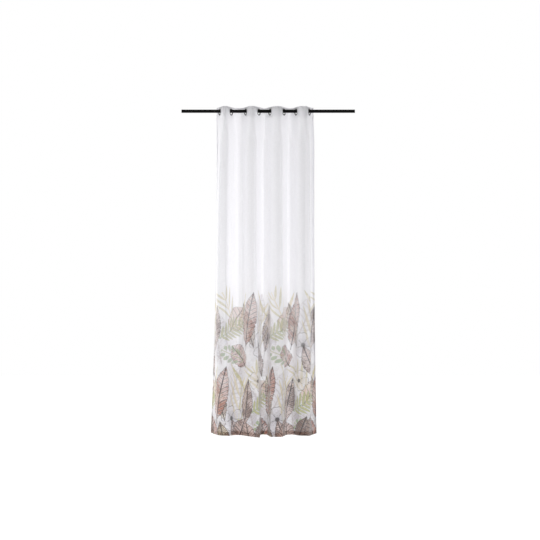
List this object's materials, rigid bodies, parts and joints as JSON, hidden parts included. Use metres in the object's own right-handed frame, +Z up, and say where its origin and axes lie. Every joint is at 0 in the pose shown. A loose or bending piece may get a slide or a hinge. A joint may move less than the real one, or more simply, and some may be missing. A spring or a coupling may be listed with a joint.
{
  "type": "sheer eyelet curtain on a curtain rod",
  "caption": "Sheer white eyelet curtain panel with a leaf and flower border along its lower part, gathered in soft folds on a plain black round rod.",
  "frame": {"origin": "middle of the rod's axis", "axes": "+Z up, -Y out of the curtain's face towards the room, +X along the rod, to the right when the face is looked at"},
  "size_m": [1.32, 0.2234, 2.502],
  "materials": {
    "voile": "semi-sheer white voile with a printed leaf and flower border",
    "stiff_tape": "stiff white woven tape",
    "eyelet_metal": "smooth black",
    "rod_paint": "satin black"
  },
  "bodies": {
    "root": {"curtain_panel": "voile", "heading_tape": "stiff_tape", "eyelet_1": "eyelet_metal", "eyelet_2": "eyelet_metal", "eyelet_3": "eyelet_metal", "eyelet_4": "eyelet_metal", "eyelet_5": "eyelet_metal", "eyelet_6": "eyelet_metal", "eyelet_7": "eyelet_metal", "eyelet_8": "eyelet_metal", "curtain_rod": "rod_paint"}
  },
  "joints": []
}
